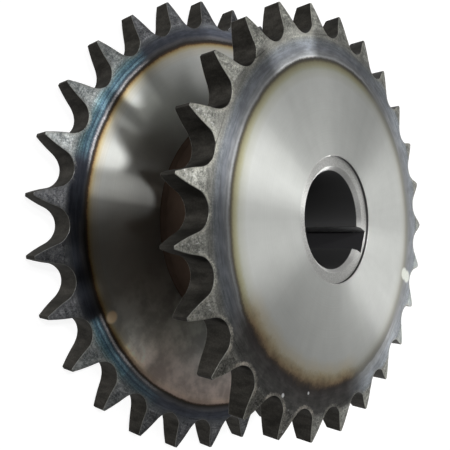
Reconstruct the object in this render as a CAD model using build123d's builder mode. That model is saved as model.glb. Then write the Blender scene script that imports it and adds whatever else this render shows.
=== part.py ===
from build123d import *
from math import atan2, cos, degrees, hypot, pi, radians, sin, sqrt
import os

os.makedirs("parts", exist_ok=True)

# Double sprocket for two single-strand roller chains, turned from one bar.
# It lies on the back face of its larger rim, with the shaft axis along +Z.
# The keyway points along +X, and each rim has a tooth gap centred over it.
# All sizes are in mm.

# --- chain -----------------------------------------------------------------
pitch = 12.7  # 1/2 in x 5/16 in chain
roller_d = 8.51
chain_width = 7.75  # between the inner plates

# --- the two toothed rims --------------------------------------------------
large_teeth = 30
small_teeth = 25
rim_spacing = 33.0  # chain line to chain line
side_clearance = 1.05  # between a rim and the inner plates, both sides together
rim_width = chain_width - side_clearance
tip_rise = 3.6  # tooth tip above the pitch circle
relief_rise = 0.48 * pitch  # radial depth of the side relief, from the tooth tip
relief_side = 0.1 * pitch  # how much the relief takes off each side at the tip

# --- hub, bore and keyway --------------------------------------------------
hub_d = 60.0
hub_corner = 1.0  # 45 degree corner left by the grooving tool
bore_d = 25.4
bore_chamfer = 1.0
key_width = bore_d / 4
key_rise = 2.9  # keyway depth, from the crown of the bore
recess_d = 32.6  # shallow turned recess around the bore, small-rim side
recess_depth = 0.8

# --- derived heights -------------------------------------------------------
large_front = rim_width
small_back = rim_spacing
overall_length = rim_spacing + rim_width
recess_floor = overall_length - recess_depth


def pitch_radius(teeth):
    """Radius of the circle that the seated roller centres lie on."""
    return pitch / (2 * sin(pi / teeth))


def tip_radius(teeth):
    """Turned outside radius of a rim."""
    return pitch_radius(teeth) + tip_rise


def tooth_gap(teeth):
    """One tooth gap along +X, in the standard form for roller chain.

    The roller seats in one arc, and a convex arc, tangent to the seat,
    makes each flank from there to the tip.
    """
    seat_radius = 0.505 * roller_d
    seat_angle = 140 - 90 / teeth
    flank_radius = 0.12 * roller_d * (teeth + 2)
    root_radius = pitch_radius(teeth) - roller_d / 2
    seat_x = root_radius + seat_radius

    # centre of the upper flank arc, in line with the end of the seat
    half_seat = radians(seat_angle / 2)
    centres_apart = seat_radius + flank_radius
    flank_x = seat_x - centres_apart * cos(half_seat)
    flank_y = centres_apart * sin(half_seat)

    # corner where the flank arc meets the outside circle
    outside = tip_radius(teeth)
    reach = hypot(flank_x, flank_y)
    along = (reach**2 + outside**2 - flank_radius**2) / (2 * reach)
    across = sqrt(outside**2 - along**2)
    tip_x = (along * flank_x + across * flank_y) / reach
    tip_y = (along * flank_y - across * flank_x) / reach
    flank_start = -seat_angle / 2
    flank_sweep = degrees(atan2(tip_y - flank_y, tip_x - flank_x)) - flank_start

    # run-out past the turned blank, along the radius through the corner
    run_out = 1 + 0.05 * pitch / outside
    out_x = tip_x * run_out
    out_y = tip_y * run_out

    with BuildSketch() as gap:
        with BuildLine():
            CenterArc((seat_x, 0), seat_radius, 180 - seat_angle / 2, seat_angle)
            CenterArc((flank_x, flank_y), flank_radius, flank_start, flank_sweep)
            CenterArc((flank_x, -flank_y), flank_radius, -flank_start, -flank_sweep)
            Line((tip_x, tip_y), (out_x, out_y))
            Line((tip_x, -tip_y), (out_x, -out_y))
            Line((out_x, out_y), (out_x, -out_y))
        make_face()
    return gap.sketch


with BuildPart() as sprocket:
    # turned blank: both rims with their side relief, the hub between, the bore
    large_tip = tip_radius(large_teeth)
    small_tip = tip_radius(small_teeth)
    bore_r = bore_d / 2
    with BuildSketch(Plane.XZ) as blank:
        with BuildLine():
            Polyline(
                (bore_r, bore_chamfer),
                (bore_r + bore_chamfer, 0),
                (large_tip - relief_rise, 0),
                (large_tip, relief_side),
                (large_tip, large_front - relief_side),
                (large_tip - relief_rise, large_front),
                (hub_d / 2 + hub_corner, large_front),
                (hub_d / 2, large_front + hub_corner),
                (hub_d / 2, small_back - hub_corner),
                (hub_d / 2 + hub_corner, small_back),
                (small_tip - relief_rise, small_back),
                (small_tip, small_back + relief_side),
                (small_tip, overall_length - relief_side),
                (small_tip - relief_rise, overall_length),
                (recess_d / 2, overall_length),
                (recess_d / 2, recess_floor),
                (bore_r + bore_chamfer, recess_floor),
                (bore_r, recess_floor - bore_chamfer),
                close=True,
            )
        make_face()
    revolve(axis=Axis.Z)

    # hobbed teeth of the larger rim
    with BuildSketch(Plane.XY) as large_gaps:
        with PolarLocations(0, large_teeth):
            add(tooth_gap(large_teeth))
    extrude(amount=large_front, mode=Mode.SUBTRACT)

    # hobbed teeth of the smaller rim
    with BuildSketch(Plane.XY.offset(small_back)) as small_gaps:
        with PolarLocations(0, small_teeth):
            add(tooth_gap(small_teeth))
    extrude(amount=rim_width, mode=Mode.SUBTRACT)

    # keyway, broached from face to face
    with BuildSketch(Plane.XY) as keyway:
        Rectangle(bore_r + key_rise, key_width, align=(Align.MIN, Align.CENTER))
    extrude(amount=overall_length, mode=Mode.SUBTRACT)

sprocket.part.label = "sprocket"
export_step(sprocket.part, "parts/sprocket.step")
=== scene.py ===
from math import cos, pi, radians, sin, tan

import bpy
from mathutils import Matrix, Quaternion, Vector


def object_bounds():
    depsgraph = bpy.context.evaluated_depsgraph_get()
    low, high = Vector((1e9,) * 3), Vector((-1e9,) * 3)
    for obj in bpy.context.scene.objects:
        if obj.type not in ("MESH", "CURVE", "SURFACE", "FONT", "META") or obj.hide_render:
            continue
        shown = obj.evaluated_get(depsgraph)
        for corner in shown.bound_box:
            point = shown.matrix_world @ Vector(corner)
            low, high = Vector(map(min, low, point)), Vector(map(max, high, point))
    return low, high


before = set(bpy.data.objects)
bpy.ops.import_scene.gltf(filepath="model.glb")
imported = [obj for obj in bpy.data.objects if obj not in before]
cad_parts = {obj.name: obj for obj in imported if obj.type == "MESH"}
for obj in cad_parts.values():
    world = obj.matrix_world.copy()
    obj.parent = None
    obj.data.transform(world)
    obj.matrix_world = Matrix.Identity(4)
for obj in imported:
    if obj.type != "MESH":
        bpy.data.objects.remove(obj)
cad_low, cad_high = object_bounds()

# Double sprocket lying on the back face of its larger rim, shaft axis along +Z.
# Azimuths are in degrees from +X, where the keyway points.

# --- sizes, in mm unless noted -----------------------------------------------
MM = 0.001
LENGTH = cad_high.z / MM
BORE = 12.7  # bore radius
RECESS = 16.3  # radius of the turned recess round the bore
HUB = 30.0  # hub radius
PITCH = 12.7  # chain pitch
ROLLER = 8.51  # roller diameter
SEAT = 0.505 * ROLLER  # radius of the roller seat in a tooth gap
SMALL_TEETH = 25
LARGE_TEETH = 30
RIM_SPLIT = 20.0  # height that parts the larger rim from the smaller
SMALL_CREASE = 48.17  # radius where the side relief of the teeth begins
LARGE_CREASE = 58.25
SMALL_TINT = 41.1  # radius where a rim's heat tint begins
LARGE_TINT = 52.9
EDGE_BREAK = 0.16  # width of the broken edges
EDGE_SEGMENTS = 2
EDGE_ANGLE = 30  # edges that turn more than this, in degrees, are broken
CREASE_ANGLE = 10.5  # edges that turn more than this, in degrees, stay sharp
WELD = 0.001  # distance within which the CAD faces are joined

# --- steel: linear red, green and blue, or a darker and a lighter colour -----
GROUND = (0.52, 0.53, 0.508)
BORE_WALL = (0.17, 0.17, 0.172)
# painted shade: the keyway floor darker than the bore wall
SLOT_FLOOR = (0.078, 0.077, 0.082)
# painted light: the keyway's sides pale where they lie in shade
SLOT_SIDES = (0.8, 0.8, 0.8)
RECESS_FLOOR = (0.54, 0.54, 0.52), (0.68, 0.68, 0.66)
HUB_WALL = (0.07, 0.046, 0.034), (0.15, 0.105, 0.08)
TOOTH_FLANK = (0.034, 0.032, 0.028), (0.062, 0.058, 0.051)
EDGES = (0.34, 0.34, 0.315)
BORE_EDGES = (0.85, 0.85, 0.83)

SMALL_RELIEF = (0.17, 0.172, 0.155), (0.52, 0.52, 0.475)
SMALL_RELIEF_BLUISH = (0.25, 0.285, 0.29)
SMALL_RELIEF_SOOTY = (0.06, 0.058, 0.052), (0.25, 0.242, 0.215)
SMALL_WORN = (0.42, 0.41, 0.35)
SMALL_BARE = (0.60, 0.545, 0.47)
LARGE_RELIEF = (0.075, 0.078, 0.086), (0.28, 0.283, 0.29)
# pale relief where the tint is painted blue, a painted highlight
LARGE_RELIEF_BLUE = (0.16, 0.18, 0.185), (0.56, 0.58, 0.57)
LARGE_WORN = (0.12, 0.12, 0.12)
# worn edges paler where the tint is painted blue, a painted highlight
LARGE_WORN_BLUE = (0.36, 0.36, 0.33)
# painted shade: the dark band near black where no light falls
LARGE_PAINTED_SHADE = (0.034, 0.037, 0.047)
LARGE_STAIN = (0.52, 0.405, 0.355)
FLECKS = (0.75, 0.75, 0.75)
CHIPS = (0.8, 0.8, 0.8)
PALE_SPOT = (0.73, 0.75, 0.69)
# painted highlight: a bright cream spot on the larger rim
PAINTED_HIGHLIGHT = (0.95, 0.75, 0.50)

ROUGH_GROUND = (0.32, 0.40)  # larger and smaller rim
ROUGH_TINTED = (0.36, 0.42)  # larger and smaller rim
ROUGH_RECESS = 0.52
ROUGH_RELIEF = 0.56
ROUGH_WALLS = 0.6
ROUGH_BORE = 0.9
ROUGH_RINGS = 0.06  # how far it varies from ring to ring
GROOVES = (0.02, 0.08)  # height of the turning marks, larger and smaller rim
BUMP_STRENGTH = 0.6
BUMP_DEPTH = 0.04  # mm
ANISOTROPY = 0.9

# --- floor and sky -----------------------------------------------------------
FLOOR_HALF = 3.0  # m
FLOOR_DROP = 0.2  # mm below the part
FLOOR_GREY = 0.28  # colour that the lamps light
FLOOR_GLOW = 0.88  # what it adds for the camera and for reflections
GLOW_EDGE = (50.0, 56.0)  # mm from the axis; no glow under the part, a painted shadow there, and all of it at the tooth gaps
SKY_LEVEL = 0.31
HOLE_LEVEL = 0.022  # of one darker part of the sky
HOLE_PLACE = (173, 72)  # azimuth and elevation of its middle
HOLE_EDGE = (38, 29)  # degrees from its middle, where it begins and where it is full

# --- lamps: azimuth, elevation, half width and half height as angles, radiance
LAMP_DISTANCE = 0.7  # m
LAMPS = {
    "lamp_key": (117.3, 68.7, 3.1, 2.7, 71.3),
    "lamp_side": (168.8, 58.7, 1.5, 2.1, 248),
    "lamp_low": (71.8, 59.4, 2.8, 2.7, 28.1),
    "lamp_far": (8.7, 6.5, 6.5, 3.3, 23),
    "lamp_high": (-1.7, 69.3, 12.2, 11.8, 2.47),
    "lamp_fill": (100.3, 60.8, 6.0, 6.1, 1.2),
    "lamp_back": (42, 44, 10, 10, 1.0),
    "lamp_left": (24, 35, 6, 6, 2.1),
    "lamp_rim": (26.1, 12.4, 10.3, 7.6, 2.27),
    "lamp_front": (156, 43, 9, 9, 0.9),
}

# --- camera ------------------------------------------------------------------
CAMERA_PLACE = (-103.893, -46.696, 107.376)  # mm
CAMERA_AIM = (-20.473, -7.005, 20.0)  # mm
CAMERA_ROLL = 87.783  # degrees
CAMERA_LENS = 40.545  # mm, on a sensor 36 mm wide
CAMERA_SENSOR = 36.0
CAMERA_SHIFT = (0.00319, -0.02393)
CAMERA_CLIP = (0.005, 20.0)  # m

# --- heat tints: colours by distance in mm outward from where the tint begins
# smaller rim: clear, but faint on the keyway's side and burnt on the -Y side
SHARP_TINT = [
    (-5.0, GROUND),
    (-2.8, (0.455, 0.46, 0.41)),
    (-1.8, (0.355, 0.35, 0.25)),
    (-1.3, (0.31, 0.295, 0.185)),
    (-0.8, (0.24, 0.225, 0.14)),
    (-0.35, (0.115, 0.10, 0.065)),
    (0.05, (0.07, 0.066, 0.058)),
    (0.35, (0.15, 0.147, 0.14)),
    (0.7, (0.255, 0.26, 0.265)),
    (1.2, (0.155, 0.16, 0.165)),
    (2.7, (0.122, 0.13, 0.145)),
    (4.2, (0.125, 0.135, 0.145)),
    (5.7, (0.17, 0.17, 0.155)),
]
SOFT_TINT = [
    (-5.0, GROUND),
    (-3.2, (0.49, 0.495, 0.465)),
    (-2.4, (0.43, 0.43, 0.39)),
    (-1.2, (0.30, 0.295, 0.255)),
    (-0.4, (0.24, 0.235, 0.21)),
    (0.6, (0.235, 0.24, 0.24)),
    (3.0, (0.245, 0.26, 0.28)),
    (5.0, (0.26, 0.28, 0.30)),
]
BURNT_TINT = [
    (-7.0, GROUND),
    (-4.0, (0.48, 0.44, 0.345)),
    (-3.0, (0.40, 0.345, 0.235)),
    (-2.1, (0.31, 0.25, 0.15)),
    (-1.4, (0.26, 0.19, 0.11)),
    (-0.8, (0.18, 0.125, 0.07)),
    (-0.2, (0.08, 0.056, 0.036)),
    (0.4, (0.042, 0.034, 0.03)),
    (1.5, (0.062, 0.056, 0.053)),
    (5.0, (0.088, 0.086, 0.08)),
]
# larger rim: dark, and the lit blue lines that replace it as a painted highlight
DARK_TINT = [
    (-4.0, GROUND),
    (-2.2, (0.51, 0.49, 0.43)),
    (-1.6, (0.49, 0.445, 0.32)),
    (-1.15, (0.45, 0.37, 0.21)),
    (-0.75, (0.32, 0.215, 0.10)),
    (-0.45, (0.085, 0.055, 0.036)),
    (0.1, (0.045, 0.041, 0.037)),
    (0.7, (0.09, 0.087, 0.09)),
    (1.1, (0.11, 0.11, 0.118)),
    (1.7, (0.072, 0.077, 0.094)),
    (3.0, (0.082, 0.09, 0.113)),
    (4.3, (0.13, 0.137, 0.147)),
]
BLUE_TINT = [
    (0.0, (0.06, 0.06, 0.065)),
    (0.3, (0.30, 0.295, 0.30)),
    (0.5, (0.66, 0.64, 0.65)),
    (0.8, (0.26, 0.28, 0.31)),
    (1.1, (0.09, 0.12, 0.16)),
    (1.45, (0.13, 0.22, 0.28)),
    (1.85, (0.24, 0.38, 0.45)),
    (2.25, (0.08, 0.14, 0.20)),
    (2.8, (0.13, 0.235, 0.29)),
    (3.4, (0.15, 0.235, 0.26)),
    (4.3, (0.215, 0.255, 0.26)),
    (5.5, (0.25, 0.265, 0.26)),
]


# --- node graph helper -------------------------------------------------------
class Graph:
    """Short names for the nodes used below; sockets or plain values go in."""

    def __init__(self, tree):
        self.tree = tree
        self.tree.nodes.clear()

    def node(self, kind, **settings):
        made = self.tree.nodes.new(kind)
        for name, value in settings.items():
            setattr(made, name, value)
        return made

    def feed(self, socket, value):
        if isinstance(value, bpy.types.NodeSocket):
            self.tree.links.new(value, socket)
        elif value is not None:
            socket.default_value = value

    def math(self, operation, a, b=None, c=None):
        made = self.node("ShaderNodeMath", operation=operation)
        for socket, value in zip(made.inputs, (a, b, c)):
            self.feed(socket, value)
        return made.outputs[0]

    def chain(self, operation, result, *others):
        for other in others:
            result = self.math(operation, result, other)
        return result

    def add(self, *terms):
        return self.chain("ADD", *terms)

    def times(self, *factors):
        return self.chain("MULTIPLY", *factors)

    def most(self, *values):
        return self.chain("MAXIMUM", *values)

    def above(self, value, limit):
        return self.math("GREATER_THAN", value, limit)

    def below(self, value, limit):
        return self.math("LESS_THAN", value, limit)

    def opposite(self, share):
        return self.math("SUBTRACT", 1.0, share)

    def vector(self, operation, a, b=None):
        made = self.node("ShaderNodeVectorMath", operation=operation)
        self.feed(made.inputs[0], a)
        self.feed(made.inputs[1], b)
        return made.outputs["Value" if operation in ("LENGTH", "DOT_PRODUCT") else "Vector"]

    def scaled(self, a, factor):
        made = self.node("ShaderNodeVectorMath", operation="SCALE")
        self.feed(made.inputs[0], a)
        self.feed(made.inputs["Scale"], factor)
        return made.outputs["Vector"]

    def join(self, x, y, z):
        made = self.node("ShaderNodeCombineXYZ")
        for socket, value in zip(made.inputs, (x, y, z)):
            self.feed(socket, value)
        return made.outputs[0]

    def split(self, a):
        made = self.node("ShaderNodeSeparateXYZ")
        self.feed(made.inputs[0], a)
        return made.outputs

    def step(self, value, low, high, out_low=0.0, out_high=1.0):
        """A smooth change of level while the value goes from low to high."""
        made = self.node("ShaderNodeMapRange", interpolation_type="SMOOTHSTEP")
        for socket, given in zip(made.inputs, (value, low, high, out_low, out_high)):
            self.feed(socket, given)
        return made.outputs[0]

    def noise(self, vector, scale, detail, roughness=0.5):
        made = self.node("ShaderNodeTexNoise")
        self.feed(made.inputs["Vector"], vector)
        self.feed(made.inputs["Scale"], scale)
        self.feed(made.inputs["Detail"], detail)
        self.feed(made.inputs["Roughness"], roughness)
        return made.outputs[0]

    def mix(self, factor, a, b, blend="MIX"):
        """A colour between two others, given as sockets or as three numbers."""
        made = self.node("ShaderNodeMix", data_type="RGBA", blend_type=blend)
        for socket, value in zip((made.inputs[0], made.inputs[6], made.inputs[7]), (factor, a, b)):
            if isinstance(value, tuple) and len(value) == 3:
                value = (*value, 1.0)
            self.feed(socket, value)
        return made.outputs[2]

    def blend(self, factor, a, b):
        """A number between two others."""
        made = self.node("ShaderNodeMix", data_type="FLOAT")
        for socket, value in zip((made.inputs[0], made.inputs[2], made.inputs[3]), (factor, a, b)):
            self.feed(socket, value)
        return made.outputs[0]

    def ramp(self, value, stops):
        """Colours placed at distances in mm, as (distance, colour) pairs."""
        low, high = stops[0][0], stops[-1][0]
        made = self.node("ShaderNodeValToRGB")
        band = made.color_ramp
        while len(band.elements) < len(stops):
            band.elements.new(0.5)
        for element, (place, colour) in zip(band.elements, stops):
            element.position = (place - low) / (high - low)
            element.color = (*colour, 1.0)
        self.feed(made.inputs[0], self.math("DIVIDE", self.math("SUBTRACT", value, low), high - low))
        return made.outputs[0]


def grey(value):
    return (value, value, value)


def flat_direction(azimuth):
    return (cos(radians(azimuth)), sin(radians(azimuth)), 0.0)


def direction(azimuth, elevation):
    level = cos(radians(elevation))
    return Vector((cos(radians(azimuth)) * level, sin(radians(azimuth)) * level, sin(radians(elevation))))


# --- places on the steel, in mm ----------------------------------------------
def gap_distance(g, x, y, radius, small):
    """Distance from a point of a rim's face to the nearest tooth gap, in part.py's standard form."""

    def per_rim(measure):
        return g.blend(small, measure(LARGE_TEETH), measure(SMALL_TEETH))

    def seat_place(teeth):
        return PITCH / 2 / sin(pi / teeth) - ROLLER / 2 + SEAT

    def flank_radius(teeth):
        return 0.12 * ROLLER * (teeth + 2)

    def seat_angle(teeth):
        return radians(140 - 90 / teeth) / 2

    def flank_x(teeth):
        return seat_place(teeth) - (SEAT + flank_radius(teeth)) * cos(seat_angle(teeth))

    def flank_y(teeth):
        return (SEAT + flank_radius(teeth)) * sin(seat_angle(teeth))

    # every half pitch is folded onto the first one beside the keyway
    folded = g.math("PINGPONG", g.math("ARCTAN2", y, x), per_rim(lambda teeth: pi / teeth))
    across = g.times(radius, g.math("COSINE", folded))
    beside = g.times(radius, g.math("SINE", folded))
    point = g.join(across, beside, 0.0)
    from_seat = g.vector("SUBTRACT", point, g.join(per_rim(seat_place), 0.0, 0.0))
    from_flank = g.vector("SUBTRACT", point, g.join(per_rim(flank_x), per_rim(flank_y), 0.0))
    seat_reach = g.vector("LENGTH", from_seat)
    over_seat = g.math("SUBTRACT", seat_reach, SEAT)
    over_flank = g.math("SUBTRACT", per_rim(flank_radius), g.vector("LENGTH", from_flank))
    lean = g.math("DIVIDE", g.times(g.split(from_seat)[0], -1.0), seat_reach)
    below_seat = g.above(lean, per_rim(lambda teeth: cos(seat_angle(teeth))))
    return g.blend(below_seat, over_flank, over_seat)


class Places:
    """Where a point of the steel lies, and the noises that its colours follow."""

    def __init__(self, g):
        self.g = g
        self.here = g.scaled(g.node("ShaderNodeTexCoord").outputs["Object"], 1 / MM)
        x, y, self.z = g.split(self.here)
        self.outward = g.join(x, y, 0.0)
        self.radius = g.vector("LENGTH", self.outward)
        self.heading = g.vector("NORMALIZE", self.outward)
        normal = g.split(g.node("ShaderNodeNewGeometry").outputs["Normal"])
        self.upright = g.math("ABSOLUTE", normal[2])
        self.sideways = g.math("ABSOLUTE", normal[1])
        self.small = g.above(self.z, RIM_SPLIT)
        self.set_noises()
        self.gap = g.add(gap_distance(g, x, y, self.radius, self.small), self.wobble(self.fine, 1.2))
        self.band = self.tint_distance()
        self.blue = self.blue_highlight_arc()
        self.set_regions()

    def set_noises(self):
        """Rings and spokes about the axis, marks from large to small, and streaks along the turning."""
        g = self.g
        rim = g.join(0.0, 0.0, g.times(self.small, 7.0))
        self.rings = g.noise(g.join(0.0, 0.0, g.times(self.radius, 3.0)), 1.0, 4.0)
        self.spokes = g.noise(g.vector("ADD", g.scaled(self.heading, 9.0), rim), 1.0, 5.0, 0.6)
        self.blotch = g.noise(self.here, 0.16, 4.0, 0.6)
        self.patches = g.step(g.noise(self.here, 0.35, 3.0), 0.35, 0.65)
        self.coarse = g.step(g.noise(self.here, 0.85, 4.0, 0.65), 0.36, 0.64)
        self.flecks = g.step(g.noise(self.here, 1.5, 2.0, 0.6), 0.66, 0.72)
        self.fine = g.noise(self.here, 1.9, 4.0, 0.65)
        self.grain = g.step(g.noise(self.here, 2.6, 3.0, 0.7), 0.42, 0.62)
        self.streaks = g.step(self.turned(11.0, 2.0), 0.36, 0.64)

    def set_regions(self):
        """1 in the bore and recess, on the hub, on the faces and on the teeth's side relief."""
        g = self.g
        self.inside = g.below(self.radius, RECESS + 0.3)
        between = g.times(g.above(self.z, 1.0), g.below(self.z, LENGTH - 5.0))
        self.hub = g.times(g.below(self.radius, HUB + 1.2), between)
        hub_wall = g.times(self.hub, g.opposite(self.inside))
        self.face = g.times(g.step(self.upright, 0.45, 0.65), g.opposite(hub_wall))
        crease = g.blend(self.small, LARGE_CREASE, SMALL_CREASE)
        self.relief = g.step(g.math("SUBTRACT", self.radius, crease), -1.2, 0.4)

    def tint_distance(self):
        """Distance outward from where the heat tint begins.

        The smaller rim's tint lies a little off centre, and is ragged where it took more heat.
        """
        g = self.g
        off_centre = g.vector("DOT_PRODUCT", self.heading, flat_direction(330))
        begins = g.blend(self.small, LARGE_TINT, g.math("MULTIPLY_ADD", off_centre, 0.9, SMALL_TINT))
        hotter = g.times(self.sector(270, 28, 52), self.small)
        wavy = self.wobble(self.blotch, g.math("MULTIPLY_ADD", hotter, 2.4, 0.8))
        ragged = self.wobble(self.fine, g.math("MULTIPLY_ADD", hotter, 1.0, 0.5))
        return g.add(g.math("SUBTRACT", self.radius, begins), wavy, ragged)

    def blue_highlight_arc(self):
        """1 where the larger rim's tint is painted blue and lit: a painted highlight on the blue tint."""
        g = self.g
        main = self.sector(172, 14, 20)
        lower = self.sector(235.5, 8, 9.3)
        fading = g.times(self.sector(243, 8, 16), 0.45)
        return g.times(g.most(main, lower, fading), g.step(self.band, -0.1, 0.2))

    def wobble(self, noise, size):
        """A noise made to run evenly to both sides of zero."""
        return self.g.times(self.g.math("SUBTRACT", noise, 0.5), size)

    def turned(self, round_it, across):
        """Noise drawn out along the turning marks."""
        g = self.g
        marks = g.join(0.0, 0.0, g.times(self.radius, across))
        return g.noise(g.vector("ADD", g.scaled(self.heading, round_it), marks), 1.0, 4.0, 0.6)

    def sector(self, azimuth, inner, outer):
        """1 within the inner half angle of an azimuth, 0 past the outer one."""
        facing = self.g.vector("DOT_PRODUCT", self.heading, flat_direction(azimuth))
        return self.g.step(facing, cos(radians(outer)), cos(radians(inner)))

    def spot(self, azimuth, distance, size):
        """1 on a small round mark, given by its place from the axis."""
        g = self.g
        place = Vector(flat_direction(azimuth)) * distance
        reach = g.vector("LENGTH", g.vector("SUBTRACT", self.outward, tuple(place)))
        return g.step(reach, size, 0.6 * size)

    def shaded(self, colour, pattern, darkest, lightest, amount=1.0):
        """A colour made darker and lighter by a pattern."""
        g = self.g
        varied = g.mix(1.0, colour, g.mix(pattern, grey(darkest), grey(lightest)), "MULTIPLY")
        return g.mix(amount, colour, varied)

    def toned(self, colour, pattern, level, amount=1.0):
        """A colour times a level where a pattern is 1."""
        return self.shaded(colour, pattern, 1.0, level, amount)


# --- colours of the smaller rim ----------------------------------------------
def small_rim_face(g, at):
    """Ground disc, straw line and blue-grey band of the smaller rim, the band lighter over some sectors
    as painted highlights and darker over one as painted shade.
    """
    tinted = g.step(at.band, 0.1, 0.6)
    sharp = g.ramp(at.band, SHARP_TINT)
    # painted highlights and painted shade: the band made lighter over three sectors and darker over one
    sharp = at.toned(sharp, at.sector(108, 16, 32), 1.35, tinted)
    painted_band_highlight = g.most(at.sector(138, 8, 15), g.times(at.sector(185, 5, 11), 0.14))
    sharp = at.toned(sharp, painted_band_highlight, 3.4, tinted)
    sharp = at.toned(sharp, at.sector(214, 8, 18), 0.62, tinted)

    soft = g.ramp(at.band, SOFT_TINT)
    # painted highlights: the band made lighter over two sectors
    soft = at.toned(soft, at.sector(62, 5, 12), 1.32, tinted)
    soft = at.toned(soft, at.sector(322, 9, 19), 1.75, tinted)

    burnt = g.ramp(at.band, BURNT_TINT)
    burnt = at.shaded(burnt, at.patches, 0.80, 1.06, g.step(at.band, -4.5, -2.0))
    face = g.mix(at.sector(14, 62, 84), sharp, soft)
    return g.mix(at.sector(266, 29, 42), face, burnt)


def small_relief(g, at, speckle):
    """Side relief of the smaller rim's teeth: grey, lighter over two sectors as painted highlights,
    bluish on one side, dark with soot on another.
    """
    relief = g.mix(speckle, *SMALL_RELIEF)
    # painted highlights: the relief made lighter over two sectors
    brighter = g.most(at.sector(147, 22, 33), g.times(at.sector(316, 20, 34), 0.4))
    relief = at.toned(relief, brighter, 1.7)
    relief = g.mix(g.times(at.sector(357, 16, 30), 0.7), relief, SMALL_RELIEF_BLUISH)
    soot_and_shade = g.mix(speckle, *SMALL_RELIEF_SOOTY)
    return g.mix(g.times(at.sector(250, 12, 36), 0.8), relief, soot_and_shade)


def bare_border(g, at):
    """1 along the gap edges of the smaller rim that are rubbed bare."""
    ring = g.times(g.step(at.radius, 40.0, 43.0), g.step(at.radius, 50.5, 48.0))
    border = g.times(at.small, at.sector(256, 17, 32), ring, g.step(at.gap, 1.0, 0.55))
    return g.times(border, g.blend(at.patches, 0.1, 1.0), g.blend(at.grain, 0.4, 1.0))


# --- colours of the larger rim -----------------------------------------------
def blue_tint(g, at):
    """Blue lines of the tint, with a glare across them."""
    blue = g.ramp(at.band, BLUE_TINT)
    blue = at.toned(blue, at.sector(171, 1.5, 5), 1.35, g.step(at.band, 1.2, 1.7))
    blue = at.toned(blue, at.sector(182, 4, 8), 0.55, g.step(at.band, 0.9, 1.3))
    blue = at.shaded(blue, g.step(at.rings, 0.38, 0.62), 0.75, 1.25)
    return at.shaded(blue, at.grain, 0.8, 1.25)


def large_rim_tint(g, at):
    """Ground disc, straw line and dark band, lighter over one sector and in parts painted blue as a
    painted highlight, near black over two sectors as painted shade.
    """
    face = g.ramp(at.band, DARK_TINT)
    # painted highlight: the band made lighter over one sector
    face = at.toned(face, at.sector(118, 6, 13), 1.9, g.step(at.band, 0.2, 0.6))
    face = g.mix(at.blue, face, blue_tint(g, at))
    # painted shade: the band made near black over two sectors where no light falls
    soot_and_shade = g.most(at.sector(195, 5, 10), g.times(at.sector(221, 3, 7), 0.7))
    soot_and_shade = g.times(soot_and_shade, g.step(at.band, 0.0, 1.0), g.step(at.band, 5.0, 3.6))
    return g.mix(soot_and_shade, face, LARGE_PAINTED_SHADE)


def large_rim_face(g, at):
    """The tinted face with a brown stain, blotchy painted reflections on one side, painted highlight
    patches and a painted glint, and painted shade towards the hub.
    """
    face = large_rim_tint(g, at)
    disc = g.step(at.band, 0.0, -1.0)
    stained = g.times(at.sector(274, 16, 40), g.step(at.band, -0.2, -0.7), g.step(at.band, -20.0, -1.0))
    face = g.mix(g.times(stained, 0.8), face, LARGE_STAIN)
    # painted reflections: the disc mottled lighter and darker over one side
    painted_reflection_blotches = g.times(at.sector(262, 26, 44), disc)
    face = at.shaded(face, g.step(at.blotch, 0.38, 0.62), 0.80, 1.22, painted_reflection_blotches)
    # painted highlights: lighter patches of the disc
    painted_highlight_patches = g.most(at.sector(163, 3, 7), at.sector(182, 8, 11))
    painted_highlight_patches = g.most(g.times(painted_highlight_patches, g.step(at.radius, 41.0, 46.0)), at.sector(192, 3, 6))
    face = at.toned(face, g.times(painted_highlight_patches, disc), 1.6)
    glint = g.times(at.sector(241, 3, 9), g.step(at.radius, 43.0, 48.5), g.step(at.band, -0.8, -1.6))
    face = at.toned(face, glint, 1.8)
    # painted shade: the disc made darker towards the hub, under the smaller rim
    return at.shaded(face, g.step(at.radius, 35.0, 46.0), 0.66, 1.0)


def large_relief(g, at, speckle):
    """Side relief of the larger rim's teeth: dark, lighter over two sectors as painted highlights, and
    pale as a painted highlight where the tint is painted blue.
    """
    relief = g.mix(speckle, *LARGE_RELIEF)
    # painted highlights: the relief made lighter over two sectors
    relief = at.toned(relief, g.most(at.sector(144, 9, 16), at.sector(222, 5, 9)), 1.8)
    return g.mix(at.blue, relief, g.mix(speckle, *LARGE_RELIEF_BLUE))


# --- colours of both rims ----------------------------------------------------
def relief_colour(g, at):
    """Grainy side relief of the teeth, with streaks, patches and bright flecks."""
    speckle = g.blend(0.45, at.grain, at.coarse)
    colour = g.mix(at.small, large_relief(g, at, speckle), small_relief(g, at, speckle))
    colour = at.shaded(colour, at.streaks, 0.78, 1.18)
    colour = at.shaded(colour, at.patches, 0.75, 1.2)
    return g.mix(g.times(at.flecks, g.blend(at.small, 0.45, 0.8)), colour, FLECKS)


def turned_face(g, at):
    """Faces of both rims with their turning marks, blotches and grain."""
    face = g.mix(at.small, large_rim_face(g, at), small_rim_face(g, at))
    face = at.shaded(face, at.spokes, 0.94, 1.06)
    face = at.shaded(face, at.rings, 0.90, 1.10)
    face = at.shaded(face, at.blotch, 0.90, 1.10)
    tinted = g.step(at.band, 0.0, 2.0)
    face = at.shaded(face, at.streaks, 0.84, 1.16, tinted)
    face = at.shaded(face, at.patches, 0.90, 1.10, tinted)
    return at.shaded(face, at.grain, 0.85, 1.2, g.times(tinted, g.step(at.band, 2.0, 6.0)))


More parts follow.
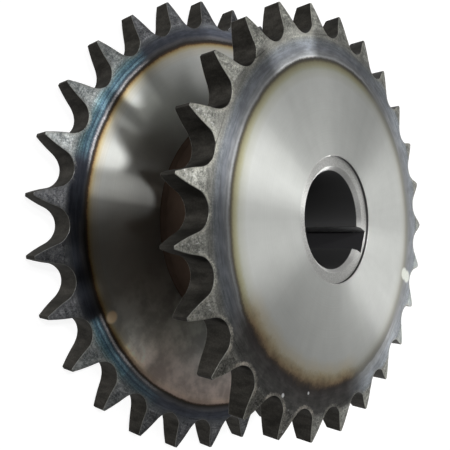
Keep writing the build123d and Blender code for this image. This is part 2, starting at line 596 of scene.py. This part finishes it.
def worn_face(g, at, face):
    """Scale worn off along the tooth gaps."""
    # the larger rim's worn edges are paler where the tint is painted blue, a painted highlight
    worn_colour = g.mix(at.small, g.mix(at.blue, LARGE_WORN, LARGE_WORN_BLUE), SMALL_WORN)
    worn = g.times(g.step(at.gap, 1.1, 0.2), g.step(at.radius, 36.0, 40.0))
    worn = g.times(worn, g.blend(at.patches, 0.45, 1.1), g.blend(at.grain, 0.2, 0.8))
    face = g.mix(worn, face, worn_colour)
    return g.mix(bare_border(g, at), face, SMALL_BARE)


def marked_face(g, at, face):
    """Two chips and a pale spot on the smaller rim, a painted highlight spot on the larger."""
    chips = g.times(g.most(at.spot(261, 45.5, 0.6), at.spot(273.5, 42.9, 0.45)), at.small)
    face = g.mix(chips, face, CHIPS)
    pale_spot = g.times(g.most(at.spot(-0.1, 42.0, 2.3), at.spot(-0.4, 43.9, 2.3)), at.small)
    face = g.mix(g.times(pale_spot, g.blend(at.grain, 0.85, 1.0)), face, PALE_SPOT)
    # painted highlight: a bright cream spot on the larger rim
    painted_highlight_spot = g.times(at.spot(229.2, 50.9, 1.8), g.opposite(at.small))
    return g.mix(painted_highlight_spot, face, PAINTED_HIGHLIGHT)


def face_colour(g, at):
    """Everything that a rim's side faces show."""
    face = g.mix(at.relief, turned_face(g, at), relief_colour(g, at))
    return marked_face(g, at, worn_face(g, at, face))


def wall_colour(g, at):
    """Dark scale on the tooth flanks, brown hub, grey bore and keyway, with painted shade on one sector
    of the bore and on the keyway floor, and painted light on the keyway's sides.
    """
    rubbed = g.noise(g.vector("MULTIPLY", at.here, (0.7, 0.7, 0.25)), 1.0, 3.0, 0.55)
    flank = g.mix(g.step(rubbed, 0.3, 0.7), *TOOTH_FLANK)
    flank = at.shaded(flank, at.grain, 0.88, 1.15)
    hub = g.mix(at.blotch, *HUB_WALL)
    # painted shade: the bore wall made darker over one sector
    bore = at.toned(BORE_WALL, at.sector(318, 20, 40), 0.56)
    in_slot = g.times(g.above(at.radius, BORE + 0.1), g.below(at.radius, RECESS - 0.2))
    # painted shade on the keyway floor, painted light on its sides
    slot = g.mix(at.sideways, SLOT_FLOOR, SLOT_SIDES)
    return g.mix(at.inside, g.mix(at.hub, flank, hub), g.mix(in_slot, bore, slot))


def steel_colour(g, at):
    """Faces, walls, recess and the brighter broken edges."""
    faces = g.mix(at.inside, face_colour(g, at), g.mix(at.grain, *RECESS_FLOOR))
    colour = g.mix(at.face, wall_colour(g, at), faces)
    edge = g.times(g.step(at.upright, 0.15, 0.5), g.step(at.upright, 0.93, 0.80), g.opposite(at.hub))
    edge = g.times(edge, g.blend(at.fine, 0.3, 1.1))
    return g.mix(edge, colour, g.mix(at.inside, EDGES, BORE_EDGES))


# --- steel material ----------------------------------------------------------
def groove_tangent(g, at):
    """Grooves run round the faces, so they shine across them; on the walls they run up."""
    lying = g.above(at.upright, 0.5)
    return g.vector("ADD", g.scaled(at.heading, lying), g.join(0.0, 0.0, g.opposite(lying)))


def steel_roughness(g, at):
    ground = g.blend(at.small, *ROUGH_GROUND)
    tinted = g.blend(at.small, *ROUGH_TINTED)
    faces = g.blend(g.step(at.band, -1.5, 1.0), ground, tinted)
    faces = g.blend(at.relief, faces, ROUGH_RELIEF)
    faces = g.blend(at.inside, faces, ROUGH_RECESS)
    walls = g.blend(at.inside, ROUGH_WALLS, ROUGH_BORE)
    return g.add(at.wobble(at.rings, ROUGH_RINGS), g.blend(at.face, walls, faces))


def groove_normal(g, at):
    """Faint turning marks on the faces, grain on the side relief."""
    bump = g.node("ShaderNodeBump")
    bump.inputs["Strength"].default_value = BUMP_STRENGTH
    bump.inputs["Distance"].default_value = BUMP_DEPTH * MM
    marks = g.times(at.rings, g.blend(at.small, *GROOVES))
    g.feed(bump.inputs["Height"], g.blend(at.relief, marks, at.fine))
    return bump.outputs[0]


def make_steel():
    steel = bpy.data.materials.new("steel_ground_and_tinted")
    steel.use_nodes = True
    g = Graph(steel.node_tree)
    at = Places(g)
    shader = g.node("ShaderNodeBsdfPrincipled")
    shader.inputs["Anisotropic"].default_value = ANISOTROPY
    shader.inputs["Metallic"].default_value = 1.0
    g.feed(shader.inputs["Base Color"], steel_colour(g, at))
    g.feed(shader.inputs["Tangent"], groove_tangent(g, at))
    g.feed(shader.inputs["Roughness"], steel_roughness(g, at))
    g.feed(shader.inputs["Normal"], groove_normal(g, at))
    output = g.node("ShaderNodeOutputMaterial")
    g.feed(output.inputs["Surface"], shader.outputs[0])
    return steel


# --- broken edges ------------------------------------------------------------
def make_normals_group():
    """Joins the faces of the CAD mesh and shades it smooth up to CREASE_ANGLE."""
    group = bpy.data.node_groups.new("joined_and_smoothed", "GeometryNodeTree")
    for in_out in ("INPUT", "OUTPUT"):
        group.interface.new_socket("Geometry", in_out=in_out, socket_type="NodeSocketGeometry")
    g = Graph(group)
    entry = g.node("NodeGroupInput")
    merge = g.node("GeometryNodeMergeByDistance")
    merge.inputs["Distance"].default_value = WELD * MM
    drop = g.node("GeometryNodeRemoveAttribute")
    drop.inputs["Name"].default_value = "custom_normal"
    faces = g.node("GeometryNodeSetShadeSmooth", domain="FACE")
    edges = g.node("GeometryNodeSetShadeSmooth", domain="EDGE")
    turn = g.node("GeometryNodeInputMeshEdgeAngle")
    g.feed(edges.inputs["Shade Smooth"], g.below(turn.outputs[0], radians(CREASE_ANGLE)))
    geometry = entry.outputs[0]
    for made in (merge, drop, faces, edges):
        g.feed(made.inputs["Geometry"], geometry)
        geometry = made.outputs[0]
    g.feed(g.node("NodeGroupOutput").inputs[0], geometry)
    return group


def break_edges(piece):
    normals = piece.modifiers.new("normals", "NODES")
    normals.node_group = make_normals_group()
    bevel = piece.modifiers.new("edge_break", "BEVEL")
    bevel.limit_method = "ANGLE"
    bevel.angle_limit = radians(EDGE_ANGLE)
    bevel.width = EDGE_BREAK * MM
    bevel.segments = EDGE_SEGMENTS
    bevel.harden_normals = True
    bevel.use_clamp_overlap = True


# --- floor, world and lamps --------------------------------------------------
def make_floor_material():
    """Glows for the camera and for reflections, but not under the part, where the missing glow is a
    painted shadow, and takes the light and the part's shadow.
    """
    pale = bpy.data.materials.new("floor_pale")
    pale.use_nodes = True
    g = Graph(pale.node_tree)
    path = g.node("ShaderNodeLightPath")
    seen = g.most(
        path.outputs["Is Camera Ray"],
        path.outputs["Is Glossy Ray"],
        path.outputs["Is Transmission Ray"],
    )
    place = g.node("ShaderNodeTexCoord").outputs["Object"]
    begins, full = GLOW_EDGE
    # painted shadow: no glow under the part
    outside = g.step(g.vector("LENGTH", place), begins * MM, full * MM)
    glow = g.node("ShaderNodeEmission")
    g.feed(glow.inputs["Strength"], g.times(seen, outside, FLOOR_GLOW))
    diffuse = g.node("ShaderNodeBsdfDiffuse")
    diffuse.inputs["Color"].default_value = (*grey(FLOOR_GREY), 1)
    both = g.node("ShaderNodeAddShader")
    g.feed(both.inputs[0], glow.outputs[0])
    g.feed(both.inputs[1], diffuse.outputs[0])
    output = g.node("ShaderNodeOutputMaterial")
    g.feed(output.inputs["Surface"], both.outputs[0])
    return pale


def make_floor():
    half = FLOOR_HALF
    corners = [(-half, -half, 0), (half, -half, 0), (half, half, 0), (-half, half, 0)]
    mesh = bpy.data.meshes.new("floor")
    mesh.from_pydata(corners, [], [(0, 1, 2, 3)])
    mesh.materials.append(make_floor_material())
    floor = bpy.data.objects.new("floor", mesh)
    floor.location.z = -FLOOR_DROP * MM
    bpy.context.scene.collection.objects.link(floor)


def make_world():
    """White to the camera; a dim sky with one darker part lights the steel."""
    world = bpy.data.worlds.new("studio")
    bpy.context.scene.world = world
    world.use_nodes = True
    g = Graph(world.node_tree)
    path = g.node("ShaderNodeLightPath")
    toward = g.node("ShaderNodeTexCoord").outputs["Generated"]
    facing = g.vector("DOT_PRODUCT", toward, tuple(direction(*HOLE_PLACE)))
    begins, full = HOLE_EDGE
    level = g.step(facing, cos(radians(begins)), cos(radians(full)), SKY_LEVEL, HOLE_LEVEL)
    background = g.node("ShaderNodeBackground")
    g.feed(background.inputs["Strength"], g.blend(path.outputs["Is Camera Ray"], level, 1.0))
    output = g.node("ShaderNodeOutputWorld")
    g.feed(output.inputs["Surface"], background.outputs[0])


def soft_lamp(name, azimuth, elevation, half_width, half_height, radiance):
    """An oval lamp aimed at the part; its half sizes are angles seen from there."""
    data = bpy.data.lights.new(name, "AREA")
    data.shape = "ELLIPSE"
    data.size = 2 * LAMP_DISTANCE * tan(radians(half_width))
    data.size_y = 2 * LAMP_DISTANCE * tan(radians(half_height))
    data.energy = radiance * pi * pi / 4 * data.size * data.size_y
    lamp = bpy.data.objects.new(name, data)
    target = Vector((0, 0, 0.5 * LENGTH * MM))
    away = direction(azimuth, elevation)
    lamp.location = target + away * LAMP_DISTANCE
    lamp.rotation_euler = (-away).to_track_quat("-Z", "Y").to_euler()
    bpy.context.scene.collection.objects.link(lamp)


# --- camera ------------------------------------------------------------------
def make_camera():
    data = bpy.data.cameras.new("camera")
    data.sensor_width = CAMERA_SENSOR
    data.lens = CAMERA_LENS
    data.shift_x, data.shift_y = CAMERA_SHIFT
    data.clip_start, data.clip_end = CAMERA_CLIP
    camera = bpy.data.objects.new("camera", data)
    place = Vector(CAMERA_PLACE) * MM
    level = (Vector(CAMERA_AIM) * MM - place).to_track_quat("-Z", "Y")
    camera.location = place
    camera.rotation_mode = "QUATERNION"
    camera.rotation_quaternion = level @ Quaternion((0, 0, 1), radians(CAMERA_ROLL))
    bpy.context.scene.collection.objects.link(camera)
    bpy.context.scene.camera = camera


# --- the scene ---------------------------------------------------------------
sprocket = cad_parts["sprocket"]
steel = make_steel()
for slot in sprocket.material_slots:
    slot.link = "OBJECT"
    slot.material = steel
break_edges(sprocket)

make_floor()
make_world()
for name, settings in LAMPS.items():
    soft_lamp(name, *settings)
make_camera()
bpy.context.scene.view_settings.view_transform = "Standard"
